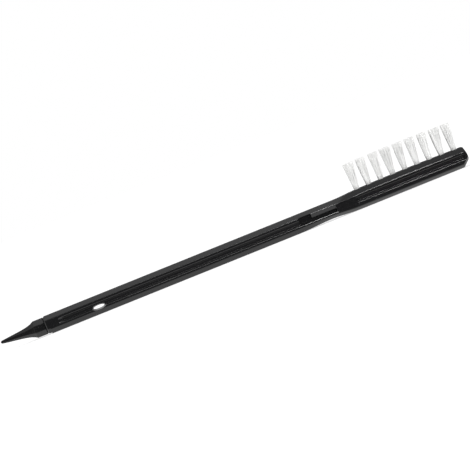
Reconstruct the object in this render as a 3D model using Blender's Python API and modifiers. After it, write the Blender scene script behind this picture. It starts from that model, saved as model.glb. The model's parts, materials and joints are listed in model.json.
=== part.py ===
"""Juicer cleaning brush: a moulded handle whose head holds staple-set nylon tufts, with a pressed-in pick.

Run in Blender 4.5 with: blender --background --python part.py
Sizes are in metres. X runs from the point of the pick to the nose of the head, and the bristles
point up, along Z. The origin lies under the middle of the brush, on the surface it rests on.
"""

import math
import random

import bmesh
import bpy
from mathutils import Matrix, Vector

# Pick: the hard pointed tip for prising pulp out of corners. Its blade widens evenly from the point
# towards the waist size, and flares beyond that line only close to the collar.
BLADE_LENGTH = 0.01465
COLLAR_LENGTH = 0.00445
COLLAR_SIZE = 0.0069
WAIST_SIZE = 0.0047
POINT_SIZE = 0.0012
POINT_ROUNDING = 0.0004
POINT_LIFT = 0.0003
PICK_EDGE_ROUNDING = 0.00015
FLARE_POWER = 7
SPIGOT_DIAMETER = 0.0038
SPIGOT_LENGTH = 0.006
SPIGOT_CLEARANCE = 0.00015
JOINT_GAP = 0.0001
JOINT_ROUNDING = 0.0003

# Handle: an eight-sided bar with a long shallow groove in each side, wider at its mouth than at its
# floor. The lip over the groove leans in a little towards it.
HANDLE_LENGTH = 0.1087
HANDLE_HEIGHT = 0.0075
HANDLE_WIDTH = 0.0086
TOP_BEVEL_WIDTH = 0.0015
TOP_BEVEL_HEIGHT = 0.0017
BOTTOM_BEVEL_WIDTH = 0.0013
BOTTOM_BEVEL_HEIGHT = 0.0017
EDGE_ROUNDING = 0.0002
INNER_CORNER_ROUNDING = 0.0001
GROOVE_MIDDLE = 0.00375
GROOVE_MOUTH_HEIGHT = 0.0021
GROOVE_FLOOR_HEIGHT = 0.0011
GROOVE_DEPTH = 0.00075
LIP_LEAN = 0.0001
GROOVE_START = 0.0045
GROOVE_RUNOUT = 0.004
END_STEP = 0.0004
END_STEP_LENGTH = 0.0013

# Hang hole: an oval hole through the sides, pinched in the middle where the two mould cores met
HANG_HOLE_PLACE = 0.0224
HANG_HOLE_HEIGHT_ABOVE_BASE = 0.003
HANG_HOLE_LENGTH = 0.0062
HANG_HOLE_HEIGHT = 0.0021
HANG_HOLE_PINCH = 0.00045
HANG_HOLE_END_PINCH = 0.0008

# Neck: a deep L-shaped pocket in each side, a solid bridge, and a thumb scoop underneath. The pocket
# is flared: its lip slants in from above, and the edge of its sill is broken.
POCKET_LENGTH = 0.0159
POCKET_DEPTH = 0.0026
POCKET_SILL = 0.0026
POCKET_SHELF = 0.004
POCKET_SLANT_HEIGHT = 0.0016
POCKET_SLANT_DEPTH = 0.001
SILL_BREAK_HEIGHT = 0.00035
SILL_BREAK_DEPTH = 0.00015
POCKET_TOP = 0.006
POCKET_THROAT = 0.0054
POCKET_ROUNDING = 0.0004
BRIDGE_LENGTH = 0.0086
SCOOP_DEPTH = 0.0006
SCOOP_LEAD = 0.0016
SCOOP_DEEPEST = 0.0132
# How long the end walls of the groove and of the head's recess are
WALL_END = 0.0006

# Head: taller than the handle and flatter underneath, with a long shallow recess in each side
HEAD_HEIGHT = 0.00825
FACE_CROWN = 0.0003
HEAD_TOP_BEVEL_WIDTH = 0.0012
HEAD_TOP_BEVEL_HEIGHT = 0.0021
HEAD_BOTTOM_BEVEL_WIDTH = 0.002
HEAD_BOTTOM_BEVEL_HEIGHT = 0.0012
HEEL_MARGIN = 0.00175
TOE_MARGIN = 0.00421
RECESS_MIDDLE = 0.00405
RECESS_MOUTH_HEIGHT = 0.0021
RECESS_FLOOR_HEIGHT = 0.001
RECESS_DEPTH = 0.0009
RECESS_RIM = 0.0013
NOSE_CHAMFER_LENGTH = 0.0029
NOSE_CHAMFER_HEIGHT = 0.0026
NOSE_ROUNDING = 0.0005
NOSE_RAKE = 0.0007

# Tufts: nylon filaments folded over a flat wire anchor, which is driven into a blind hole
TUFT_COLUMNS = 9
TUFT_PITCH = 0.005205
ROW_SPACING = 0.0046
HOLE_DIAMETER = 0.0022
HOLE_WALL = 0.0007
HOLE_FLOOR = 0.0024
DRILL_POINT = 0.0006
ROOT_CLEARANCE = 0.00015
ROOT_SINK = 0.0003
STRAND_SINK = 0.0005
BRISTLE_LENGTH = 0.0111
BRISTLE_RAGGEDNESS = 0.0004
STRANDS_PER_TUFT = 26
STRAND_DIAMETER = 0.00025
# How far each tuft has opened out at its top, as a share of the room between tufts, heel to toe
TUFT_SPREAD = (0.99, 0.86, 0.90, 1.03, 0.95, 0.86, 0.82, 1.0, 0.82)
# How far each tuft leans towards the nose at its top, as a share of the same room
TUFT_LEAN = (0.08, 0.06, 0.11, 0.10, 0.13, 0.10, 0.11, 0.13, 0.04)

# Anchors
ANCHOR_THICKNESS = 0.0003
ANCHOR_HEIGHT = 0.0016
ANCHOR_BITE = 0.00025
ANCHOR_CLEARANCE = 0.0001
FOLD_THICKNESS = 0.0006

# Places along X that follow from the lengths above
HEAD_LENGTH = HEEL_MARGIN + (TUFT_COLUMNS - 1) * TUFT_PITCH + TOE_MARGIN
PICK_LENGTH = BLADE_LENGTH + COLLAR_LENGTH
TOTAL_LENGTH = PICK_LENGTH + JOINT_GAP + HANDLE_LENGTH + POCKET_LENGTH + BRIDGE_LENGTH + HEAD_LENGTH
POINT_X = -TOTAL_LENGTH / 2
HANDLE_X = POINT_X + PICK_LENGTH + JOINT_GAP
POCKET_X = HANDLE_X + HANDLE_LENGTH
BRIDGE_X = POCKET_X + POCKET_LENGTH
HEAD_X = BRIDGE_X + BRIDGE_LENGTH
NOSE_X = HEAD_X + HEAD_LENGTH
HEAD_WIDTH = ROW_SPACING + HOLE_DIAMETER + 2 * (HOLE_WALL + RECESS_DEPTH)
PICK_AXIS = END_STEP + COLLAR_SIZE / 2

ROUND_STEPS = 12
NECK_STEPS = 14
HEAD_STEPS = 6
RUNOUT_STEPS = 4
NOSE_STEPS = 3
BLADE_STEPS = 10
HOLE_STEPS = 16
OVERCUT = 0.001


def clear_scene():
    for leftover in list(bpy.data.objects):
        bpy.data.objects.remove(leftover, do_unlink=True)


def new_collection(name):
    collection = bpy.data.collections.new(name)
    bpy.context.scene.collection.children.link(collection)
    return collection


def new_object(name, mesh, collection, material=None):
    body = bpy.data.objects.new(name, mesh)
    collection.objects.link(body)
    if material:
        mesh.materials.append(material)
    return body


def new_cutter(name, mesh, cutters):
    cutter = new_object(name, mesh, cutters)
    cutter.hide_render = True
    cutter.display_type = "WIRE"
    return cutter


def to_mesh(name, solid):
    bmesh.ops.recalc_face_normals(solid, faces=solid.faces)
    mesh = bpy.data.meshes.new(name)
    solid.to_mesh(mesh)
    solid.free()
    return mesh


def new_material(name, colour, roughness, metallic=0.0):
    material = bpy.data.materials.new(name)
    material.use_nodes = True
    shader = material.node_tree.nodes["Principled BSDF"]
    shader.inputs["Base Color"].default_value = (*colour, 1.0)
    shader.inputs["Roughness"].default_value = roughness
    shader.inputs["Metallic"].default_value = metallic
    return material


def boolean(body, cutter, operation="DIFFERENCE"):
    cut = body.modifiers.new(cutter.name, "BOOLEAN")
    cut.operation = operation
    cut.solver = "EXACT"
    cut.object = cutter


def loft(name, rings):
    """A closed solid through rings that all have as many points, with its sides in triangles."""
    solid = bmesh.new()
    loops = [[solid.verts.new(point) for point in ring] for ring in rings]
    for loop, following in zip(loops, loops[1:]):
        for i in range(len(loop)):
            j = (i + 1) % len(loop)
            solid.faces.new((loop[i], loop[j], following[j], following[i]))
    bmesh.ops.triangulate(solid, faces=solid.faces)
    solid.faces.new(loops[0])
    solid.faces.new(loops[-1])
    return to_mesh(name, solid)


def turned(name, profile):
    """A profile of (radius, height) points, from top to bottom, turned about Z by a Screw modifier."""
    outline = bmesh.new()
    points = [outline.verts.new((radius, 0, height)) for radius, height in profile]
    for upper, lower in zip(points, points[1:]):
        outline.edges.new((upper, lower))
    mesh = bpy.data.meshes.new(name)
    outline.to_mesh(mesh)
    outline.free()
    return mesh


def add_screw(body):
    screw = body.modifiers.new("turn", "SCREW")
    screw.axis = "Z"
    screw.angle = math.tau
    screw.steps = ROUND_STEPS
    screw.render_steps = ROUND_STEPS
    screw.use_merge_vertices = True
    screw.merge_threshold = 0.00001
    screw.use_smooth_shade = True


def block(name, size):
    """A box of the given size, centred on its own origin."""
    solid = bmesh.new()
    bmesh.ops.create_cube(solid, size=1.0, matrix=Matrix.Diagonal((*size, 1.0)))
    return to_mesh(name, solid)


def repeat(body, count, step):
    array = body.modifiers.new("repeat", "ARRAY")
    array.count = count
    array.use_relative_offset = False
    array.use_constant_offset = True
    array.constant_offset_displace = step


def smooth_round(mesh, angle=35):
    mesh.shade_smooth()
    mesh.set_sharp_from_angle(angle=math.radians(angle))


def rise(x, start, end):
    """0 before start and 1 after end, with an S-shaped climb between them."""
    t = min(max((x - start) / (end - start), 0.0), 1.0)
    return t * t * (3 - 2 * t)


def climb(x, start, end):
    """0 before start and 1 after end, with a straight climb between them."""
    return min(max((x - start) / (end - start), 0.0), 1.0)


def rounded(corners, roundings):
    """A closed outline with each corner replaced by three points of a curve, short of its neighbours."""
    outline = []
    for i, (corner, rounding) in enumerate(zip(corners, roundings)):
        before = corners[i - 1] - corner
        after = corners[(i + 1) % len(corners)] - corner
        start = corner + before.normalized() * min(rounding, 0.45 * before.length)
        end = corner + after.normalized() * min(rounding, 0.45 * after.length)
        outline += [start, (start + 2 * corner + end) / 4, end]
    return outline


def face_height(x):
    """The height of the body's upper side, which on the head is the slightly crowned bristle face."""
    shoulder = rise(x, BRIDGE_X, HEAD_X + HEEL_MARGIN)
    along = min(max((x - HEAD_X) / HEAD_LENGTH, 0.0), 1.0)
    crown = FACE_CROWN * (1 - (2 * along - 1) ** 2)
    return HANDLE_HEIGHT + (HEAD_HEIGHT - FACE_CROWN - HANDLE_HEIGHT) * shoulder + crown


def base_height(x):
    """The height of the underside: flat, but for the step at the pick, the scoop and the nose chamfer."""
    step = END_STEP * (1 - climb(x, HANDLE_X + END_STEP_LENGTH, HANDLE_X + END_STEP_LENGTH + EDGE_ROUNDING))
    scoop_start = POCKET_X - SCOOP_LEAD
    scoop_middle = POCKET_X + SCOOP_DEEPEST
    scoop = SCOOP_DEPTH * rise(x, scoop_start, scoop_middle) * (1 - rise(x, scoop_middle, HEAD_X))
    chamfer = NOSE_CHAMFER_HEIGHT * max(0.0, (x - NOSE_X) / NOSE_CHAMFER_LENGTH + 1)
    return step + scoop + chamfer


def between(start, end, share):
    return start + (end - start) * share


def half_width(x):
    return between(HANDLE_WIDTH, HEAD_WIDTH, rise(x, BRIDGE_X, HEAD_X)) / 2


def groove_share(x):
    """How far the handle's groove is open: it fades in by the pick and ends inside the pocket."""
    groove_start = HANDLE_X + GROOVE_START
    groove_end = BRIDGE_X - WALL_END
    fade_in = rise(x, groove_start, groove_start + GROOVE_RUNOUT)
    return fade_in * (1 - climb(x, groove_end - WALL_END, groove_end))


def recess_share(x):
    """How far the head's recess is open: it has a steep wall at both ends."""
    recess_end = NOSE_X - RECESS_RIM
    return climb(x, HEAD_X, HEAD_X + WALL_END) * (1 - climb(x, recess_end - WALL_END, recess_end))


def inset_bevel(width, height, inset):
    """The width and height that a bevel has left when the whole section is drawn in by inset."""
    loss = inset * (width + height - math.hypot(width, height))
    return width - loss / height, height - loss / width


def top_bevel(x, inset):
    share = rise(x, BRIDGE_X, HEAD_X)
    width = between(TOP_BEVEL_WIDTH, HEAD_TOP_BEVEL_WIDTH, share)
    height = between(TOP_BEVEL_HEIGHT, HEAD_TOP_BEVEL_HEIGHT, share)
    return inset_bevel(width, height, inset)


def bottom_bevel(x, inset):
    """The lower bevel, which flattens out along the scoop."""
    share = rise(x, POCKET_X - SCOOP_LEAD, BRIDGE_X)
    width = between(BOTTOM_BEVEL_WIDTH, HEAD_BOTTOM_BEVEL_WIDTH, share)
    height = between(BOTTOM_BEVEL_HEIGHT, HEAD_BOTTOM_BEVEL_HEIGHT, share)
    return inset_bevel(width, height, inset)


def groove_heights(x, lowest, highest):
    """The heights of the groove's mouth and floor, from the lowest up, kept in order inside the side face."""
    share = rise(x, BRIDGE_X, HEAD_X)
    middle = between(GROOVE_MIDDLE, RECESS_MIDDLE, share)
    mouth = between(GROOVE_MOUTH_HEIGHT, RECESS_MOUTH_HEIGHT, share) / 2
    floor = between(GROOVE_FLOOR_HEIGHT, RECESS_FLOOR_HEIGHT, share) / 2
    heights = [middle - mouth, middle - floor, middle + floor, middle + mouth]
    least_gap = (highest - lowest) / (2 * len(heights))
    for i in range(len(heights)):
        heights[i] = max(heights[i], lowest + (i + 1) * least_gap)
        heights[i] = min(heights[i], highest - (len(heights) - i) * least_gap)
    return heights


def body_ring(x, inset=0.0, rake=0.0):
    """The body's eight-sided grooved section at x, drawn in by inset and leaning back by rake."""
    side = half_width(x) - inset
    top = face_height(x) - inset
    base = base_height(x) + inset
    floor = side - GROOVE_DEPTH * groove_share(x) - RECESS_DEPTH * recess_share(x)
    lean = LIP_LEAN * groove_share(x)
    top_width, top_height = top_bevel(x, inset)
    bottom_width, bottom_height = bottom_bevel(x, inset)
    upper_edge = top - top_height
    lower_edge = base + bottom_height
    mouth_base, floor_base, floor_top, mouth_top = groove_heights(x, lower_edge, upper_edge)
    half = [
        (side - top_width, top),
        (side, upper_edge),
        (side - lean, mouth_top),
        (floor, floor_top),
        (floor, floor_base),
        (side, mouth_base),
        (side, lower_edge),
        (side - bottom_width, base),
    ]
    corners = [Vector((x - rake * ((z - base) / (top - base)) ** 2, y, z)) for y, z in half]
    corners += [Vector((corner.x, -corner.y, corner.z)) for corner in reversed(corners)]
    roundings = [EDGE_ROUNDING] * len(half)
    roundings[3:5] = [INNER_CORNER_ROUNDING] * 2
    return rounded(corners, roundings + roundings[::-1])


def spaced(start, end, steps):
    return [start + (end - start) * i / steps for i in range(steps + 1)]


def body_stations():
    """The places along X where the body's section changes."""
    step_x = HANDLE_X + END_STEP_LENGTH
    groove_x = HANDLE_X + GROOVE_START
    groove_end = BRIDGE_X - WALL_END
    recess_end = NOSE_X - RECESS_RIM
    places = [HANDLE_X + JOINT_ROUNDING, step_x, step_x + EDGE_ROUNDING]
    places += spaced(groove_x, groove_x + GROOVE_RUNOUT, RUNOUT_STEPS)
    places += spaced(POCKET_X - SCOOP_LEAD, HEAD_X, NECK_STEPS)
    places += [groove_end - WALL_END, groove_end, HEAD_X + WALL_END]
    places += spaced(HEAD_X + HEEL_MARGIN, NOSE_X - NOSE_CHAMFER_LENGTH, HEAD_STEPS)
    places += [recess_end - WALL_END, recess_end]
    return sorted(set(places))


def body_mesh():
    rings = [body_ring(HANDLE_X, JOINT_ROUNDING)]
    rings += [body_ring(x) for x in body_stations()]
    for i in range(NOSE_STEPS + 1):
        angle = math.pi / 2 * i / NOSE_STEPS
        x = NOSE_X - NOSE_ROUNDING * (1 - math.sin(angle))
        rings.append(body_ring(x, NOSE_ROUNDING * (1 - math.cos(angle)), NOSE_RAKE))
    mesh = loft("handle_body", rings)
    smooth_round(mesh)
    return mesh


def pocket_cutter(cutters):
    """An L-shaped outline for the deep pocket of the neck, extruded right through and kept off the web."""
    throat = POCKET_X + POCKET_THROAT
    corners = [
        Vector((POCKET_X, 0, POCKET_SILL)),
        Vector((BRIDGE_X, 0, POCKET_SILL)),
        Vector((BRIDGE_X, 0, POCKET_SHELF)),
        Vector((throat, 0, POCKET_SHELF)),
        Vector((throat, 0, POCKET_TOP)),
        Vector((POCKET_X, 0, POCKET_TOP)),
    ]
    outline = rounded(corners, [POCKET_ROUNDING] * len(corners))
    inner = HANDLE_WIDTH / 2 - POCKET_DEPTH
    outer = HEAD_WIDTH / 2 + OVERCUT
    solid = bmesh.new()
    for side in (-1, 1):
        face = solid.faces.new([solid.verts.new(point + Vector((0, side * inner, 0))) for point in outline])
        grown = bmesh.ops.extrude_face_region(solid, geom=[face], use_keep_orig=True)
        moved = [item for item in grown["geom"] if isinstance(item, bmesh.types.BMVert)]
        bmesh.ops.translate(solid, verts=moved, vec=(0, side * (outer - inner), 0))
    return new_cutter("pocket_cutter", to_mesh("pocket_cutter", solid), cutters)


def pocket_flare_cutter(cutters):
    """A bar on each side that slants the pocket's lip inwards and breaks the edge of its sill."""
    side = HANDLE_WIDTH / 2
    slant = POCKET_SLANT_HEIGHT / POCKET_SLANT_DEPTH
    fall = SILL_BREAK_HEIGHT / SILL_BREAK_DEPTH
    section = [
        (side + OVERCUT, POCKET_SHELF + slant * (POCKET_SLANT_DEPTH + OVERCUT)),
        (side - POCKET_SLANT_DEPTH, POCKET_SHELF),
        (side - SILL_BREAK_DEPTH, POCKET_SILL),
        (side + OVERCUT, POCKET_SILL - fall * (SILL_BREAK_DEPTH + OVERCUT)),
    ]
    solid = bmesh.new()
    for row in (-1, 1):
        face = solid.faces.new([solid.verts.new((POCKET_X, row * y, z)) for y, z in section])
        grown = bmesh.ops.extrude_face_region(solid, geom=[face], use_keep_orig=True)
        moved = [item for item in grown["geom"] if isinstance(item, bmesh.types.BMVert)]
        bmesh.ops.translate(solid, verts=moved, vec=(POCKET_LENGTH, 0, 0))
    return new_cutter("pocket_flare_cutter", to_mesh("pocket_flare_cutter", solid), cutters)


def hang_hole_cutter(cutters):
    """An oval core from each side, narrowest where the two cores meet in the middle of the web."""
    floor = HANDLE_WIDTH / 2 - GROOVE_DEPTH
    outside = HANDLE_WIDTH / 2 + OVERCUT
    centre = Vector((HANDLE_X + HANG_HOLE_PLACE, 0, HANG_HOLE_HEIGHT_ABOVE_BASE))
    rings = []
    for y in (-outside, 0.0, outside):
        growth = abs(y) / floor - 1
        half_length = HANG_HOLE_LENGTH / 2 + HANG_HOLE_END_PINCH * growth
        half_height = HANG_HOLE_HEIGHT / 2 + HANG_HOLE_PINCH * growth
        ring = []
        for i in range(HOLE_STEPS):
            angle = math.tau * i / HOLE_STEPS
            ring.append(centre + Vector((half_length * math.cos(angle), y, half_height * math.sin(angle))))
        rings.append(ring)
    return new_cutter("hang_hole_cutter", loft("hang_hole_cutter", rings), cutters)


def socket_cutter(cutters):
    """The blind round socket in the handle's end that takes the pick's spigot."""
    radius = SPIGOT_DIAMETER / 2 + SPIGOT_CLEARANCE
    depth = SPIGOT_LENGTH + SPIGOT_CLEARANCE
    profile = [(0, depth), (radius, depth), (radius, -OVERCUT), (0, -OVERCUT)]
    cutter = new_cutter("socket_cutter", turned("socket_cutter", profile), cutters)
    add_screw(cutter)
    cutter.rotation_euler = (0, math.pi / 2, 0)
    cutter.location = (HANDLE_X, 0, PICK_AXIS)
    return cutter


def tuft_place(column, row):
    """The middle of a tuft hole on the bristle face; row is -1 on the right and 1 on the left."""
    x = HEAD_X + HEEL_MARGIN + column * TUFT_PITCH
    return Vector((x, row * ROW_SPACING / 2, face_height(x)))


def tuft_hole_cutter(cutters):
    """The blind holes of all the tufts: one turned hole with a drilled end, repeated along and across."""
    radius = HOLE_DIAMETER / 2
    profile = [
        (0, HEAD_HEIGHT + OVERCUT),
        (radius, HEAD_HEIGHT + OVERCUT),
        (radius, HOLE_FLOOR),
        (0, HOLE_FLOOR - DRILL_POINT),
    ]
    cutter = new_cutter("tuft_hole_cutter", turned("tuft_hole_cutter", profile), cutters)
    add_screw(cutter)
    repeat(cutter, TUFT_COLUMNS, (TUFT_PITCH, 0, 0))
    repeat(cutter, 2, (0, ROW_SPACING, 0))
    first = tuft_place(0, -1)
    cutter.location = (first.x, first.y, 0)
    return cutter


def anchor_base():
    """The height of an anchor's lower edge, above the fold of the filaments that pass under it."""
    return HOLE_FLOOR + ROOT_CLEARANCE + FOLD_THICKNESS + ANCHOR_CLEARANCE


def anchor_length():
    return HOLE_DIAMETER + 2 * ANCHOR_BITE


def anchor_slot_cutter(cutters):
    """The pairs of nicks that the anchors cut in the walls of the holes as they are driven home."""
    base = anchor_base() - ANCHOR_CLEARANCE
    top = HEAD_HEIGHT + OVERCUT
    length = anchor_length() + 2 * ANCHOR_CLEARANCE
    width = ANCHOR_THICKNESS + 2 * ANCHOR_CLEARANCE
    nick = block("anchor_slot_cutter", (length, width, top - base))
    cutter = new_cutter("anchor_slot_cutter", nick, cutters)
    repeat(cutter, TUFT_COLUMNS, (TUFT_PITCH, 0, 0))
    repeat(cutter, 2, (0, ROW_SPACING, 0))
    first = tuft_place(0, -1)
    cutter.location = (first.x, first.y, (top + base) / 2)
    return cutter


def handle_body(parts, cutters, material):
    body = new_object("handle_body", body_mesh(), parts, material)
    for cutter in (
        pocket_cutter(cutters),
        pocket_flare_cutter(cutters),
        hang_hole_cutter(cutters),
        socket_cutter(cutters),
        tuft_hole_cutter(cutters),
        anchor_slot_cutter(cutters),
    ):
        boolean(body, cutter)
    return body


def pick_ring(x, height, size):
    """An eight-sided ring of the pick, regular and as high as it is wide."""
    flat = size / 2 * math.tan(math.pi / 8)
    half = size / 2
    corners = [
        (flat, half), (half, flat), (half, -flat), (flat, -half),
        (-flat, -half), (-half, -flat), (-half, flat), (-flat, half),
    ]
    rounding = PICK_EDGE_ROUNDING * size / COLLAR_SIZE
    return rounded([Vector((x, y, height + z)) for y, z in corners], [rounding] * len(corners))


def pick_mesh():
    """The pick about the middle of its joint face: a blade that flares into a collar."""
    shoulder_x = -COLLAR_LENGTH
    point_x = shoulder_x - BLADE_LENGTH
    rings = [pick_ring(point_x, POINT_LIFT, POINT_SIZE - 2 * POINT_ROUNDING)]
    for i in range(BLADE_STEPS + 1):
        share = 1 - (1 - i / BLADE_STEPS) ** 2
        size = between(POINT_SIZE, WAIST_SIZE, share) + (COLLAR_SIZE - WAIST_SIZE) * share**FLARE_POWER
        x = max(point_x + BLADE_LENGTH * share, point_x + POINT_ROUNDING)
        rings.append(pick_ring(x, POINT_LIFT * (1 - share), size))
    rings.append(pick_ring(-JOINT_ROUNDING, 0, COLLAR_SIZE))
    rings.append(pick_ring(0, 0, COLLAR_SIZE - 2 * JOINT_ROUNDING))
    mesh = loft("pick_tip", rings)
    smooth_round(mesh, 30)
    return mesh


def pick_tip(parts, cutters, material):
    pick = new_object("pick_tip", pick_mesh(), parts, material)
    pick.location = (HANDLE_X - JOINT_GAP, 0, PICK_AXIS)
    radius = SPIGOT_DIAMETER / 2
    end = SPIGOT_LENGTH + JOINT_GAP
    lead_in = SPIGOT_CLEARANCE * 2
    profile = [(0, end), (radius - lead_in, end), (radius, end - lead_in), (radius, -OVERCUT), (0, -OVERCUT)]
    spigot = new_cutter("pick_spigot", turned("pick_spigot", profile), cutters)
    add_screw(spigot)
    spigot.rotation_euler = (0, math.pi / 2, 0)
    spigot.location = pick.location
    boolean(pick, spigot, "UNION")
    return pick


def root_profile(face):
    """The packed root of a tuft from just under the bristle face down to the fold at the hole's end."""
    radius = HOLE_DIAMETER / 2 - ROOT_CLEARANCE
    base = HOLE_FLOOR + ROOT_CLEARANCE - face
    fold = FOLD_THICKNESS / 2
    return [(0, -ROOT_SINK), (radius, -ROOT_SINK), (radius, base + fold), (radius - fold, base), (0, base)]


def strand_mesh(name, column, seed):
    """Three-sided strands set out like the seeds of a sunflower, each opening out in step, so none cross."""
    shuffle = random.Random(seed)
    root_radius = HOLE_DIAMETER / 2 - ROOT_CLEARANCE - STRAND_DIAMETER / 2
    room = Vector((TUFT_PITCH, ROW_SPACING)) - Vector((STRAND_DIAMETER, STRAND_DIAMETER)) * 2
    spread = room * TUFT_SPREAD[column] / 2
    lean = TUFT_PITCH * TUFT_LEAN[column]
    golden_angle = math.pi * (3 - math.sqrt(5))
    solid = bmesh.new()
    for i in range(STRANDS_PER_TUFT):
        share = math.sqrt((i + 0.5) / STRANDS_PER_TUFT)
        angle = i * golden_angle
        out = Vector((math.cos(angle), math.sin(angle))) * share
        foot = Vector((out.x * root_radius, out.y * root_radius, -STRAND_SINK))
        height = BRISTLE_LENGTH - BRISTLE_RAGGEDNESS * shuffle.random()
        tip = Vector((out.x * spread.x + lean, out.y * spread.y, height))
        run = tip - foot
        turn = Vector((0, 0, 1)).rotation_difference(run).to_matrix().to_4x4()
        place = Matrix.Translation((foot + tip) / 2) @ turn @ Matrix.Rotation(angle, 4, "Z")
        bmesh.ops.create_cone(
            solid,
            cap_ends=True,
            segments=3,
            radius1=STRAND_DIAMETER / 2,
            radius2=STRAND_DIAMETER / 2,
            depth=run.length,
            matrix=place,
        )
    return to_mesh(name, solid)


def tuft(name, column, row, parts, cutters, material):
    place = tuft_place(column, row)
    root = new_object(name, turned(name, root_profile(place.z)), parts, material)
    add_screw(root)
    root.location = place
    play = 2 * ANCHOR_CLEARANCE
    window_size = (HOLE_DIAMETER, ANCHOR_THICKNESS + play, ANCHOR_HEIGHT + play)
    window = new_cutter(name + "_window", block(name + "_window", window_size), cutters)
    window.location = (place.x, place.y, anchor_base() + ANCHOR_HEIGHT / 2)
    boolean(root, window)
    strands = new_cutter(name + "_strands", strand_mesh(name + "_strands", column, column * row), cutters)
    strands.location = place
    boolean(root, strands, "UNION")
    return root


def anchor(name, column, row, parts, material):
    wire = new_object(name, block(name, (anchor_length(), ANCHOR_THICKNESS, ANCHOR_HEIGHT)), parts, material)
    place = tuft_place(column, row)
    wire.location = (place.x, place.y, anchor_base() + ANCHOR_HEIGHT / 2)
    return wire


def main():
    clear_scene()
    parts = new_collection("juicer_cleaning_brush")
    cutters = new_collection("cutters")
    black_plastic = new_material("black_plastic", (0.012, 0.012, 0.013), 0.28)
    pick_plastic = new_material("pick_plastic", (0.014, 0.014, 0.015), 0.38)
    nylon = new_material("nylon", (0.88, 0.88, 0.86), 0.35)
    steel_wire = new_material("steel_wire", (0.62, 0.61, 0.58), 0.3, 1.0)

    pieces = [handle_body(parts, cutters, black_plastic), pick_tip(parts, cutters, pick_plastic)]
    for side, row in (("right", -1), ("left", 1)):
        for column in range(TUFT_COLUMNS):
            number = f"{side}_{column + 1}"
            pieces.append(tuft("tuft_" + number, column, row, parts, cutters, nylon))
            pieces.append(anchor("anchor_" + number, column, row, parts, steel_wire))

    brush = bpy.data.objects.new("brush", None)
    parts.objects.link(brush)
    for piece in pieces:
        piece.parent = brush


main()
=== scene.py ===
# %% [markdown]
# Juicer cleaning brush: dressing the solid model.
#
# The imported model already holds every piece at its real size: a black moulded handle with a grooved
# head, a pointed pick pressed into its end, 18 tufts of nylon and the wire anchors that hold them.
# This lesson gives those pieces their looks. It makes the plastic and the nylon as node materials,
# gives the handle and the pick smooth skins, models the tufts again with dozens of fine filaments
# each, and lights the brush as a small studio would. Everything is in metres: X runs along the brush
# from pick to nose, the bristles point up along Z, and the brush lies on the floor at Z = 0.

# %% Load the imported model
import json
import math
import random

import bmesh
import bpy
from mathutils import Matrix, Vector

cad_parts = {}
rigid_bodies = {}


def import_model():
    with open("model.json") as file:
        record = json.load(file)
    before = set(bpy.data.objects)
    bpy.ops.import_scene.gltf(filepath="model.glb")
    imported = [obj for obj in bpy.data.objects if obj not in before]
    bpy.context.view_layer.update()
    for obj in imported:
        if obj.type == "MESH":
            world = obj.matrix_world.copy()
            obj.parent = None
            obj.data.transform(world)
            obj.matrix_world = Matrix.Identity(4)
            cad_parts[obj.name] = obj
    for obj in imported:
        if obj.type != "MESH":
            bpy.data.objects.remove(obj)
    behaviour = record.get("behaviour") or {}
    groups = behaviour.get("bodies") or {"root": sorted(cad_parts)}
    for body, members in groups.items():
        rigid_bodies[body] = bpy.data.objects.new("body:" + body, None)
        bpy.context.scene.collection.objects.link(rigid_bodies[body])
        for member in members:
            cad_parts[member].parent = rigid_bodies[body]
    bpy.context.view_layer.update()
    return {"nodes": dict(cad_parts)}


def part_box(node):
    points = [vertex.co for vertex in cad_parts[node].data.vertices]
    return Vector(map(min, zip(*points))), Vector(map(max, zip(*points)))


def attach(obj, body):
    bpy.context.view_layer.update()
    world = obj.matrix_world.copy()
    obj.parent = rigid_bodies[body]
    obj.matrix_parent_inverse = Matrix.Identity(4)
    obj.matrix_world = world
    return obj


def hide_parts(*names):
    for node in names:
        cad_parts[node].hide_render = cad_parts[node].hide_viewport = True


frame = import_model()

nodes = frame["nodes"]
print("pieces in the model:", len(nodes))

# %% [markdown]
# Nothing may stay selected before an operator runs, because an operator acts on all that is
# selected, and loading leaves every node selected. These few helpers do what the mouse would do. Two
# places closer than SAME_PLACE count as one when a part of a mesh is picked by its place.

# %% Small helpers for working as by hand
MM = 0.001
SAME_PLACE = 0.01 * MM


def deselect_all():
    for other in bpy.context.view_layer.objects:
        other.select_set(False)


def pick_up(piece):
    """Makes piece the only selected object and the active one."""
    deselect_all()
    piece.select_set(True)
    bpy.context.view_layer.objects.active = piece


def select_in_mesh(piece, kind, wanted):
    """Opens piece in edit mode with only the parts selected for which wanted(part) is true."""
    pick_up(piece)
    bpy.ops.object.mode_set(mode="EDIT")
    bpy.ops.mesh.select_mode(type=kind)
    bpy.ops.mesh.select_all(action="DESELECT")
    work = bmesh.from_edit_mesh(piece.data)
    parts = {"VERT": work.verts, "EDGE": work.edges, "FACE": work.faces}[kind]
    for part in parts:
        part.select_set(bool(wanted(part)))
    work.select_flush_mode()
    bmesh.update_edit_mesh(piece.data)


def close_mesh():
    bpy.ops.object.mode_set(mode="OBJECT")


def apply_modifier(piece, kind, **settings):
    pick_up(piece)
    modifier = piece.modifiers.new(kind.title(), kind)
    for name, value in settings.items():
        setattr(modifier, name, value)
    bpy.ops.object.modifier_apply(modifier=modifier.name)


def settle(piece):
    """Moves the piece's place, turn and scale into its mesh, so that its object sits at the origin."""
    pick_up(piece)
    bpy.ops.object.transform_apply(location=True, rotation=True, scale=True)


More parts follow.
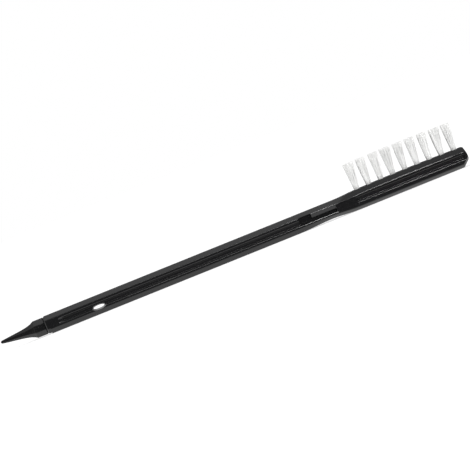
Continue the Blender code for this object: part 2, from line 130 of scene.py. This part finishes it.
# %% [markdown]
# Materials are built from nodes. Every one of them starts as a Principled shader whose plain values
# are set on its own sockets. Where a surface varies, its colour, roughness or bump reads noise in
# Object coordinates. The pieces' objects sit at the origin, so those coordinates are simply metres in
# the model, and a noise scale of 1000 makes grains of about a millimetre. Nearly all of a noise lies
# between 0.3 and 0.7, so a ramp over that range uses all of it, and a higher and narrower one leaves
# only its peaks.

# %% Small helpers for materials
NOISE_RANGE = (0.3, 0.7)


def new_finish(name, colour, roughness, **plain):
    """A material with its node tree and its shader, whose sockets take the plain values."""
    finish = bpy.data.materials.new(name)
    finish.use_nodes = True
    shader = finish.node_tree.nodes["Principled BSDF"]
    shader.inputs["Base Color"].default_value = (*colour, 1.0)
    shader.inputs["Roughness"].default_value = roughness
    for socket, value in plain.items():
        shader.inputs[socket.replace("_", " ")].default_value = value
    return finish, finish.node_tree, shader


def add_node(tree, kind, **sockets):
    node = tree.nodes.new(kind)
    for socket, value in sockets.items():
        node.inputs[socket.replace("_", " ")].default_value = value
    return node


def grain(tree, scale, detail=2.0, stretch=(1, 1, 1)):
    """Noise in metres of the model, drawn out along an axis where its stretch is below 1."""
    place = tree.nodes.new("ShaderNodeTexCoord")
    mapping = add_node(tree, "ShaderNodeMapping", Scale=stretch)
    noise = add_node(tree, "ShaderNodeTexNoise", Scale=scale, Detail=detail)
    tree.links.new(place.outputs["Object"], mapping.inputs["Vector"])
    tree.links.new(mapping.outputs["Vector"], noise.inputs["Vector"])
    return noise.outputs["Fac"]


def ramp(tree, source, low, high, to_low, to_high):
    """Source between low and high, stretched to run from to_low to to_high and held past them."""
    limits = {"From_Min": low, "From_Max": high, "To_Min": to_low, "To_Max": to_high}
    spread = add_node(tree, "ShaderNodeMapRange", **limits)
    tree.links.new(source, spread.inputs["Value"])
    return spread.outputs["Result"]


def add_up(tree, first, second):
    both = tree.nodes.new("ShaderNodeMath")
    both.operation = "ADD"
    tree.links.new(first, both.inputs[0])
    tree.links.new(second, both.inputs[1])
    return both.outputs["Value"]


def blend_colours(tree, share, first, second):
    mix = tree.nodes.new("ShaderNodeMix")
    mix.data_type = "RGBA"
    colours = [socket for socket in mix.inputs if socket.type == "RGBA"]
    colours[0].default_value = (*first, 1.0)
    colours[1].default_value = (*second, 1.0)
    tree.links.new(share, mix.inputs["Factor"])
    return next(socket for socket in mix.outputs if socket.type == "RGBA")


def bump(tree, shader, height, depth):
    relief = add_node(tree, "ShaderNodeBump", Strength=1.0, Distance=depth)
    tree.links.new(height, relief.inputs["Height"])
    tree.links.new(relief.outputs["Normal"], shader.inputs["Normal"])


def dress(node_name, finish):
    """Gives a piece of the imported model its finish."""
    materials = nodes[node_name].data.materials
    materials.clear()
    materials.append(finish)


# %% [markdown]
# The handle and head are one moulding in black plastic, polished but not mirror bright: a mould
# leaves a very fine orange peel, the melt leaves a slow drift in gloss, and drawers and sinks leave
# hair-fine scratches that mostly run along the handle. A flat black would hide all its edges, so
# the gloss has to vary.

# %% Black moulded plastic
BLACK = (0.0085, 0.0085, 0.0091)
WORN_BLACK = (0.015, 0.015, 0.016)
MOULDING_IOR = 1.54
POLISHED = 0.10
HAZY = 0.15
SCUFFED = 0.06
DRIFT_SCALE = 70
SCRATCH_SCALE = 2600
SCRATCH_STRETCH = (0.02, 1, 1)
SCUFF_RANGE = (0.62, 0.78)
WORN_RANGE = (0.55, 0.8)
PEEL_SCALE = 1100
PEEL_DEPTH = 0.0008 * MM


def moulded_black():
    finish, tree, shader = new_finish("black_moulding", BLACK, HAZY, IOR=MOULDING_IOR)
    drift = grain(tree, DRIFT_SCALE, detail=3)
    scratches = grain(tree, SCRATCH_SCALE, detail=3, stretch=SCRATCH_STRETCH)
    peel = grain(tree, PEEL_SCALE)
    haze = ramp(tree, drift, *NOISE_RANGE, POLISHED, HAZY)
    scuffs = ramp(tree, scratches, *SCUFF_RANGE, 0.0, SCUFFED)
    tree.links.new(add_up(tree, haze, scuffs), shader.inputs["Roughness"])
    worn = ramp(tree, scratches, *WORN_RANGE, 0.0, 1.0)
    tree.links.new(blend_colours(tree, worn, BLACK, WORN_BLACK), shader.inputs["Base Color"])
    bump(tree, shader, peel, PEEL_DEPTH)
    return finish


black_moulding = moulded_black()
dress("handle_body", black_moulding)
print("handle finish:", black_moulding.name)

# %% [markdown]
# The pick is a harder, satin plastic. It is what gets pushed against metal sieves, so it carries
# more and deeper scratches than the handle, and it is duller all over.

# %% Satin plastic of the pick
PICK_BLACK = (0.007, 0.007, 0.0075)
PICK_SCRAPED = (0.013, 0.013, 0.0137)
PICK_IOR = 1.5
PICK_SATIN = (0.18, 0.26)
PICK_SCUFFED = 0.15
PICK_CLOUD_SCALE = 300
PICK_SCRATCH_SCALE = 3400
PICK_SCRATCH_STRETCH = (0.06, 1, 1)
PICK_SCUFF_RANGE = (0.58, 0.75)
PICK_SCRAPED_RANGE = (0.56, 0.8)
PICK_SCRATCH_DEPTH = 0.006 * MM


def satin_black():
    finish, tree, shader = new_finish("satin_pick", PICK_BLACK, PICK_SATIN[0], IOR=PICK_IOR)
    cloud = grain(tree, PICK_CLOUD_SCALE, detail=4)
    scratches = grain(tree, PICK_SCRATCH_SCALE, detail=4, stretch=PICK_SCRATCH_STRETCH)
    haze = ramp(tree, cloud, *NOISE_RANGE, *PICK_SATIN)
    scuffs = ramp(tree, scratches, *PICK_SCUFF_RANGE, 0.0, PICK_SCUFFED)
    tree.links.new(add_up(tree, haze, scuffs), shader.inputs["Roughness"])
    scraped = ramp(tree, scratches, *PICK_SCRAPED_RANGE, 0.0, 1.0)
    tree.links.new(blend_colours(tree, scraped, PICK_BLACK, PICK_SCRAPED), shader.inputs["Base Color"])
    bump(tree, shader, scratches, PICK_SCRATCH_DEPTH)
    return finish


satin_pick = satin_black()
dress("pick_tip", satin_pick)
print("pick finish:", satin_pick.name)

# %% [markdown]
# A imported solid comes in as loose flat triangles, so light breaks at every one of them. Copies of the
# handle and of the pick are therefore merged into closed skins and shaded smooth. Edges sharper than
# a limit stay crisp. A Weighted Normal modifier then lets each large face keep its own direction to
# its very edge, so only the narrow roundings between the faces bend the light, as on the real part.

# %% Smooth skins of the handle and the pick
MERGE_DISTANCE = 0.001 * MM
FLAT_WITHIN = math.radians(0.2)
CRISP_FROM = math.radians(38)


def smooth_skin(name, node_name):
    """A closed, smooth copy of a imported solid, shown in its place."""
    deselect_all()
    skin = nodes[node_name].copy()
    skin.data = nodes[node_name].data.copy()
    skin.name = name
    skin.data.name = name
    bpy.context.collection.objects.link(skin)
    pick_up(skin)
    bpy.ops.mesh.customdata_custom_splitnormals_clear()
    loose = len(skin.data.vertices)
    select_in_mesh(skin, "VERT", lambda corner: True)
    bpy.ops.mesh.remove_doubles(threshold=MERGE_DISTANCE)
    bpy.ops.mesh.dissolve_limited(angle_limit=FLAT_WITHIN)
    close_mesh()
    bpy.ops.object.shade_smooth_by_angle(angle=CRISP_FROM)
    apply_modifier(skin, "WEIGHTED_NORMAL", keep_sharp=True)
    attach(skin, "root")
    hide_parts(node_name)
    print(name, "corners", loose, "->", len(skin.data.vertices), "faces", len(skin.data.polygons))
    return skin


handle_skin = smooth_skin("handle_skin", "handle_body")
smooth_skin("pick_skin", "pick_tip")

# %% [markdown]
# The anchors are slips of flat drawn wire, hidden in the tuft holes. They still get a real finish,
# because the model may be cut open or taken apart: wire is drawn through a die along its length,
# which leaves fine lines that way.

# %% Drawn steel wire of the anchors
STEEL = (0.60, 0.59, 0.57)
DULL_STEEL = (0.44, 0.43, 0.41)
DULL_RANGE = (0.4, 0.7)
STEEL_ROUGHNESS = (0.22, 0.42)
DRAWN_SCALE = 9000
DRAWN_STRETCH = (0.05, 1, 1)
DRAWN_DEPTH = 0.002 * MM


def drawn_wire():
    finish, tree, shader = new_finish("drawn_wire", STEEL, STEEL_ROUGHNESS[0], Metallic=1.0)
    lines = grain(tree, DRAWN_SCALE, stretch=DRAWN_STRETCH)
    tree.links.new(ramp(tree, lines, *NOISE_RANGE, *STEEL_ROUGHNESS), shader.inputs["Roughness"])
    dull = ramp(tree, lines, *DULL_RANGE, 0.0, 1.0)
    tree.links.new(blend_colours(tree, dull, STEEL, DULL_STEEL), shader.inputs["Base Color"])
    bump(tree, shader, lines, DRAWN_DEPTH)
    return finish


wire_finish = drawn_wire()
anchors = [name for name in nodes if name.startswith("anchor_")]
for name in anchors:
    dress(name, wire_finish)
print("wire anchors finished:", len(anchors))

# %% [markdown]
# Nylon filament is milky: light goes into it, scatters and comes out again, so a tuft on a white
# ground is only a little darker than the ground. A clear or see-through shader would lose that light,
# because a bundle needs dozens of bounces to give it back and a render stops after a few. An opaque
# and very pale plastic with a soft shine looks much more like it. Each filament carries a number of
# its own, written into the mesh as the attribute "shade", so that neighbours can differ slightly. How
# grey it is comes for the larger part from that number and for the rest from streaks along it.

# %% Nylon filament
NYLON = (0.95, 0.95, 0.945)
NYLON_GREY = (0.86, 0.86, 0.85)
NYLON_IOR = 1.53
NYLON_ROUGHNESS = (0.26, 0.4)
SHADE_SHARE = 0.6
STREAK_SCALE = 1500
STREAK_STRETCH = (1, 1, 0.08)


def milky_nylon():
    finish, tree, shader = new_finish("nylon_filament", NYLON, NYLON_ROUGHNESS[0], IOR=NYLON_IOR)
    shade = tree.nodes.new("ShaderNodeAttribute")
    shade.attribute_name = "shade"
    streaks = grain(tree, STREAK_SCALE, stretch=STREAK_STRETCH)
    own = ramp(tree, shade.outputs["Fac"], 0.0, 1.0, 0.0, SHADE_SHARE)
    mixed = add_up(tree, own, ramp(tree, streaks, *NOISE_RANGE, 0.0, 1 - SHADE_SHARE))
    tree.links.new(blend_colours(tree, mixed, NYLON, NYLON_GREY), shader.inputs["Base Color"])
    tree.links.new(ramp(tree, streaks, *NOISE_RANGE, *NYLON_ROUGHNESS), shader.inputs["Roughness"])
    return finish


nylon_filament = milky_nylon()
print("filament finish:", nylon_filament.name)

# %% [markdown]
# Each tuft is a bundle of filaments folded in half over its anchor and driven into a blind hole. It
# could be a hair system, but hair isn't a mesh and can't be exported, so each filament is a thin
# tube. One filament is modelled as by hand: a cylinder, cut across a few times, with its upper end
# rounded. It is made three times with a different slight bend, since no filament is quite straight.

# %% One filament in three bends
STRAND_SIDES = 6
STRAND_WIDTH = 0.2 * MM
STRAND_LENGTH = 11.1 * MM
STRAND_CUTS = 3
STRAND_ROUND = 0.28 * STRAND_WIDTH
STRAND_BENDS = (2.0, 6.0, 11.0)


def filament(name, bend):
    """A filament that stands on the origin, rounded at its top and bent by so many degrees."""
    deselect_all()
    bpy.ops.mesh.primitive_cylinder_add(
        vertices=STRAND_SIDES,
        radius=STRAND_WIDTH / 2,
        depth=STRAND_LENGTH,
        location=(0, 0, STRAND_LENGTH / 2),
    )
    strand = bpy.context.active_object
    strand.name = name
    settle(strand)
    select_in_mesh(strand, "EDGE", lambda edge: abs(edge.verts[0].co.z - edge.verts[1].co.z) > MM)
    bpy.ops.mesh.subdivide(number_cuts=STRAND_CUTS)
    close_mesh()
    top = STRAND_LENGTH - SAME_PLACE
    select_in_mesh(strand, "EDGE", lambda edge: min(corner.co.z for corner in edge.verts) > top)
    bpy.ops.mesh.bevel(offset=STRAND_ROUND, segments=1)
    close_mesh()
    apply_modifier(strand, "SIMPLE_DEFORM", deform_method="BEND", deform_axis="X", angle=math.radians(bend))
    strand.rotation_euler.x = math.radians(bend) / 2
    settle(strand)
    strand.data.shade_smooth()
    return strand


strand_kinds = [filament(f"filament_{i}", bend) for i, bend in enumerate(STRAND_BENDS)]
for strand in strand_kinds:
    heights = [corner.co.z / MM for corner in strand.data.vertices]
    print(f"{strand.name}: {len(strand.data.polygons)} faces, {min(heights):.2f} to {max(heights):.2f} mm")

# %% [markdown]
# Where does each tuft stand? Its hole is centred on its anchor, and how high the bristle face is
# there can be measured as with a height gauge: a ray is sent straight down beside the hole until it
# meets the handle. The top, the width and the lean of the tuft come from the box round the solid
# tuft, so the finer one fills exactly the same room.

# %% Measure where a tuft stands
GAUGE_STEP = 1.5 * MM
GAUGE_START = 50 * MM
DOWN = Vector((0, 0, -1))


def measure(side, number):
    """The middle of a tuft's hole on the face, the box of its solid, and the box of its anchor."""
    solid_low, solid_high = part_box(f"tuft_{side}_{number}")
    wire_low, wire_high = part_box(f"anchor_{side}_{number}")
    middle = (wire_low + wire_high) / 2
    start = Vector((middle.x + GAUGE_STEP, middle.y, GAUGE_START))
    met = handle_skin.ray_cast(start, DOWN)[1]
    return Vector((middle.x, middle.y, met.z)), (solid_low, solid_high), (wire_low, wire_high)


for number in (1, 5, 9):
    hole, solid, wire = measure("right", number)
    print(f"hole {number}: x {hole.x / MM:.2f} mm, face {hole.z / MM:.2f} mm, top {solid[1].z / MM:.2f} mm")

# %% [markdown]
# In the hole the filaments are packed into a round plug, folded at its lower end round the anchor.
# The plug is a cylinder with its lower rim bevelled where the filaments turn back up, and a window
# for the wire is cut in it with a Boolean, which is how you would cut any slot by hand.

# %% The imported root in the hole
ROOT_WIDTH = 1.9 * MM
ROOT_SINK = 0.3 * MM
FOLD_ROUND = 0.3 * MM
FOLD_SEGMENTS = 3
WINDOW_GAP = 0.1 * MM
ROOT_SIDES = 24


def packed_root(name, hole, solid_low, wire):
    """The plug of filaments from the hole's bottom to just under the face, round its wire."""
    top = hole.z - ROOT_SINK
    deselect_all()
    bpy.ops.mesh.primitive_cylinder_add(
        vertices=ROOT_SIDES,
        radius=ROOT_WIDTH / 2,
        depth=top - solid_low.z,
        location=(hole.x, hole.y, (top + solid_low.z) / 2),
    )
    root = bpy.context.active_object
    root.name = name
    root.data.name = name
    settle(root)
    rim = solid_low.z + SAME_PLACE
    select_in_mesh(root, "EDGE", lambda edge: max(corner.co.z for corner in edge.verts) < rim)
    bpy.ops.mesh.bevel(offset=FOLD_ROUND, segments=FOLD_SEGMENTS)
    close_mesh()
    deselect_all()
    wire_size = wire[1] - wire[0]
    bpy.ops.mesh.primitive_cube_add(size=1, location=(wire[0] + wire[1]) / 2)
    window = bpy.context.active_object
    window.scale = (ROOT_WIDTH * 2, wire_size.y + 2 * WINDOW_GAP, wire_size.z + 2 * WINDOW_GAP)
    settle(window)
    apply_modifier(root, "BOOLEAN", operation="DIFFERENCE", solver="EXACT", object=window)
    bpy.data.objects.remove(window)
    return root


# %% [markdown]
# The filaments are planted like the seeds of a sunflower: each one is turned from the last by the
# golden angle and stands a little further out, which packs a circle evenly. Its tip goes the same
# way out, only further, so the tuft opens upwards and no filament crosses the bundle. The filaments
# push each other outwards, so the tips stand closer together towards the rim, and damp ones cling to
# the nearest of a few clumps. The machine trims the tips level after filling, and use frays that
# edge, so the heights differ slightly.

# %% Plant the filaments of one tuft
STRANDS_PER_TUFT = 74
STRAND_FOOT_DEPTH = 0.55 * MM
TRIM_ERROR = 0.45 * MM
TIP_WANDER = 0.16 * MM
GOLDEN_ANGLE = math.pi * (3 - math.sqrt(5))
RIM_CROWDING = 0.8
CLUMPS = 4
CLUMP_OUT = 0.8
CLUMP_PULL = 0.07


def plant(strand_kind, foot, tip, spin, shade):
    """A copy of a filament set from foot to tip, turned about its own length, with its own shade."""
    strand = strand_kind.copy()
    strand.data = strand_kind.data.copy()
    run = tip - foot
    lean = run.to_track_quat("Z", "Y").to_matrix().to_4x4()
    stretch = Matrix.Diagonal((1, 1, run.length / STRAND_LENGTH, 1))
    strand.data.transform(Matrix.Translation(foot) @ lean @ Matrix.Rotation(spin, 4, "Z") @ stretch)
    own = strand.data.attributes.new("shade", "FLOAT", "POINT")
    own.data.foreach_set("value", [shade] * len(strand.data.vertices))
    bpy.context.collection.objects.link(strand)
    return strand


def tuft(side, number, seed):
    """A root and its filaments, joined into one piece that fills the solid tuft's room."""
    chance = random.Random(seed)
    hole, (solid_low, solid_high), wire = measure(side, number)
    name = f"bristles_{side}_{number}"
    root = packed_root(name, hole, solid_low, wire)
    inner = (ROOT_WIDTH - STRAND_WIDTH) / 2
    crown = (solid_low + solid_high) / 2
    open_x = (solid_high.x - solid_low.x - STRAND_WIDTH) / 2
    open_y = (solid_high.y - solid_low.y - STRAND_WIDTH) / 2
    turn = chance.uniform(0, math.tau)
    angles = [turn + i * math.tau / CLUMPS for i in range(CLUMPS)]
    clumps = [Vector((math.cos(angle), math.sin(angle))) * CLUMP_OUT for angle in angles]
    strands = []
    for i in range(STRANDS_PER_TUFT):
        out = math.sqrt((i + 0.5) / STRANDS_PER_TUFT)
        way = Vector((math.cos(i * GOLDEN_ANGLE), math.sin(i * GOLDEN_ANGLE)))
        spot = way * out
        foot = Vector((hole.x + spot.x * inner, hole.y + spot.y * inner, hole.z - STRAND_FOOT_DEPTH))
        nearest = min(clumps, key=lambda clump: (clump - spot).length)
        spot = (way * out**RIM_CROWDING).lerp(nearest, CLUMP_PULL)
        tip = Vector((crown.x + spot.x * open_x, crown.y + spot.y * open_y, solid_high.z))
        tip += Vector((chance.uniform(-1, 1), chance.uniform(-1, 1), 0)) * TIP_WANDER * (1 - out)
        tip.z -= chance.random() * TRIM_ERROR
        kind = chance.choice(strand_kinds)
        strands.append(plant(kind, foot, tip, chance.uniform(0, math.tau), chance.random()))
    deselect_all()
    for strand in strands:
        strand.select_set(True)
    root.select_set(True)
    bpy.context.view_layer.objects.active = root
    bpy.ops.object.join()
    root.data.materials.clear()
    root.data.materials.append(nylon_filament)
    return root


# %% [markdown]
# Two rows of nine tufts: one hidden behind the other from the side, both seen from the end. Each
# new tuft rides on the one body of the brush, stands for the solid tuft of the same number, which is
# hidden, and wears the nylon finish. The random draws of each tuft start from a seed of its own, so
# every run plants the same brush.

# %% Plant both rows
ROW_SEEDS = {"right": 100, "left": 200}
TUFTS_PER_ROW = sum(name.startswith("tuft_right_") for name in nodes)
for side, row_seed in ROW_SEEDS.items():
    for number in range(1, TUFTS_PER_ROW + 1):
        piece = tuft(side, number, row_seed + number)
        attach(piece, "root")
        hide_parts(f"tuft_{side}_{number}")
    print(side, "row planted, faces in its last tuft:", len(piece.data.polygons))
for strand in strand_kinds:
    bpy.data.objects.remove(strand)

# %% [markdown]
# The photograph was taken square to the side of the brush with a long lens, from just above the
# level of its middle, and the camera was turned so that the brush climbs to the right.

# %% Camera
CAMERA_DISTANCE = 1.5
CAMERA_RISE = math.radians(2.0)
CAMERA_ROLL = math.radians(21.95)
CAMERA_LENS = 288.7
CAMERA_CLIP = 0.05
CAMERA_TARGET = Vector((2.4, 0, 9.1)) * MM

deselect_all()
bpy.ops.object.camera_add()
camera = bpy.context.active_object
camera.name = "camera"
camera.data.lens = CAMERA_LENS
back = Vector((0, -math.cos(CAMERA_RISE), math.sin(CAMERA_RISE)))
upright = Matrix.Rotation(math.pi / 2 - CAMERA_RISE, 4, "X")
place = Matrix.Translation(CAMERA_TARGET + back * CAMERA_DISTANCE)
camera.matrix_world = place @ upright @ Matrix.Rotation(-CAMERA_ROLL, 4, "Z")
camera.data.clip_start = CAMERA_CLIP
bpy.context.scene.camera = camera
bpy.context.scene.view_settings.view_transform = "Standard"
print("camera at", [round(side, 3) for side in camera.matrix_world.translation], "m")

# %% [markdown]
# The photograph shows the brush on pure white with no edge to the ground. A matt white floor does
# that: its own colour is pale, and where the camera looks at it a glow lifts it to full white except
# where the brush shades it. Reflections see the floor as plain white, so that the gloss of the
# plastic has something even to show. Neither the glow nor the plain white meets the diffuse rays
# that light the brush. The floor lies a hair below the brush, so that no two faces share a place.

# %% White floor
FLOOR_SIZE = 6.0
FLOOR_DROP = 0.02 * MM
FLOOR_WHITE = (0.86, 0.86, 0.86)
FLOOR_GLOW = 0.49
MIRRORED_WHITE = 1.0
MATT = 0.9
WHITE = (1, 1, 1, 1)

deselect_all()
bpy.ops.mesh.primitive_plane_add(size=FLOOR_SIZE, location=(0, 0, -FLOOR_DROP))
floor = bpy.context.active_object
floor.name = "floor"
floor_finish, tree, shader = new_finish("white_floor", FLOOR_WHITE, MATT, Specular_IOR_Level=0.0)
shader.inputs["Emission Color"].default_value = WHITE
path = tree.nodes.new("ShaderNodeLightPath")
looked_at = ramp(tree, path.outputs["Is Camera Ray"], 0, 1, 0, FLOOR_GLOW)
tree.links.new(looked_at, shader.inputs["Emission Strength"])
plain_white = add_node(tree, "ShaderNodeEmission", Strength=MIRRORED_WHITE)
either = tree.nodes.new("ShaderNodeMixShader")
tree.links.new(path.outputs["Is Glossy Ray"], either.inputs["Fac"])
tree.links.new(shader.outputs["BSDF"], either.inputs[1])
tree.links.new(plain_white.outputs["Emission"], either.inputs[2])
tree.links.new(either.outputs["Shader"], tree.nodes["Material Output"].inputs["Surface"])
floor.data.materials.append(floor_finish)
print("floor", FLOOR_DROP / MM, "mm below the brush")

# %% [markdown]
# A shiny black thing shows its surroundings more than its own colour. Photographers keep its sides
# dark with black cards and its edges bright with white above and below. Two dark cards lie on the
# floor, one on each side of the brush, and turn up far away from it. They are hidden from the camera
# and cast no shadow, and only reflections meet them. The one behind turns up less, so that the walls
# of the hang hole, which are seen at a glancing angle, mirror the white above it and show as a grey
# rim.

# %% Dark cards at both sides
CARD_NEAR = 14 * MM
CARD_FAR = 900 * MM
CARD_LENGTH = 3.0
CARD_LIFT = 0.5 * MM
FRONT_CARD_RISE = 320 * MM
BACK_CARD_RISE = 90 * MM
CARD_GREY = (0.05, 0.05, 0.05)


def dark_card(name, side, rise):
    """A card that lies just over the floor, starts near the brush and turns up at its far edge."""
    deselect_all()
    bpy.ops.mesh.primitive_plane_add(size=1)
    card = bpy.context.active_object
    card.name = name
    card.scale = (CARD_LENGTH, CARD_FAR - CARD_NEAR, 1)
    card.location = (0, side * (CARD_NEAR + CARD_FAR) / 2, CARD_LIFT)
    settle(card)
    far = side * CARD_FAR
    select_in_mesh(card, "EDGE", lambda edge: all(abs(end.co.y - far) < SAME_PLACE for end in edge.verts))
    bpy.ops.mesh.extrude_region_move(TRANSFORM_OT_translate={"value": (0, 0, rise)})
    close_mesh()
    card.visible_camera = False
    card.visible_shadow = False
    card.visible_diffuse = False
    card.data.materials.append(card_finish)
    print(name, "turns up by", round(rise / MM), "mm")


card_finish = new_finish("dark_card", CARD_GREY, MATT, Specular_IOR_Level=0.0)[0]
dark_card("card_front", -1, FRONT_CARD_RISE)
dark_card("card_back", 1, BACK_CARD_RISE)

# %% [markdown]
# The light is a soft box over the brush, a wide low fill in front of it and an even glow all round,
# at a level where a colour renders about as it is written. The fill is low so that the upright tufts
# take it evenly from root to tip, and swung a little to the right, so that each tuft is darker on its
# left side.
#
# Strips in a row draw the bright hairlines along the handle: each rounded edge that turns upwards
# mirrors them somewhere, while the flat faces beside the edge look past them. The photograph's lines
# are bright along the head and the pocket and faint along the handle, so each of these has a strip
# of its own. STRIPS says from where to where along X the brush has the line, and how bright it is.
# A strip is longer than that stretch and further out, because the camera sees it in the mirror,
# behind the brush. It shines in a narrow cone, or the head's strip would glint at the groove's far
# end. Only mirror rays meet the strips and only diffuse ones meet the fill, so the edges are crisp
# and the tufts stay evenly lit.
#
# The camera sees the world's glow as pure white, whatever its level, and mirror rays see it at half,
# so that the black plastic keeps its depth.

# %% Lamps and world
SOFT_BOX = {"size": (0.3, 0.3), "distance": 0.5, "rise": math.radians(90), "radiance": 0.45}
FILL = {"size": (0.6, 0.26), "distance": 1.0, "rise": math.radians(10), "radiance": 13.0}
FILL_SWING = math.radians(12)
STRIP_DISTANCE = 0.6
STRIP_RISE = math.radians(30)
STRIP_HEIGHT = 120 * MM
STRIP_CONE = math.radians(32)
STRIPS = {
    "handle": (-45 * MM, 28 * MM, 6),
    "pocket": (32 * MM, 47 * MM, 33),
    "head": (57 * MM, 105 * MM, 36),
}
WORLD_LEVEL = 0.62
MIRRORED_WORLD = 0.5


def lamp(name, size, distance, rise, radiance, swing=0.0, along=0.0, cone=math.pi):
    """A rectangular lamp that looks at X = along from in front, raised by rise and swung to the right.

    A narrower cone looks brighter from ahead at the same energy, by a gain that the energy is divided by.
    """
    deselect_all()
    away = Matrix.Rotation(swing, 3, "Z") @ Vector((0, -math.cos(rise), math.sin(rise)))
    place = Vector((along, 0, 0)) + away * distance
    bpy.ops.object.light_add(type="AREA", location=place, rotation=(math.pi / 2 - rise, 0, swing))
    light = bpy.context.active_object
    light.name = name
    light.data.shape = "RECTANGLE"
    light.data.size, light.data.size_y = size
    light.data.spread = cone
    gain = math.tan(cone / 2) / (math.tan(cone / 2) - cone / 2)
    light.data.energy = radiance * math.pi * size[0] * size[1] / gain
    print(name, "energy", round(light.data.energy, 3), "W")
    return light


lamp("soft_box", **SOFT_BOX)
lamp("fill", **FILL, swing=FILL_SWING).visible_glossy = False
mirrored = (CAMERA_DISTANCE + STRIP_DISTANCE) / CAMERA_DISTANCE
for part, (start, end, radiance) in STRIPS.items():
    size = ((end - start) * mirrored, STRIP_HEIGHT)
    along = (start + end) / 2 * mirrored
    strip = lamp(f"{part}_strip", size, STRIP_DISTANCE, STRIP_RISE, radiance, along=along, cone=STRIP_CONE)
    strip.visible_diffuse = False

world = bpy.data.worlds.new("studio")
bpy.context.scene.world = world
world.use_nodes = True
tree = world.node_tree
path = tree.nodes.new("ShaderNodeLightPath")
whiter = ramp(tree, path.outputs["Is Camera Ray"], 0, 1, WORLD_LEVEL, 1.0)
darker = ramp(tree, path.outputs["Is Glossy Ray"], 0, 1, 0, MIRRORED_WORLD - WORLD_LEVEL)
background = tree.nodes["Background"]
background.inputs["Color"].default_value = WHITE
tree.links.new(add_up(tree, whiter, darker), background.inputs["Strength"])
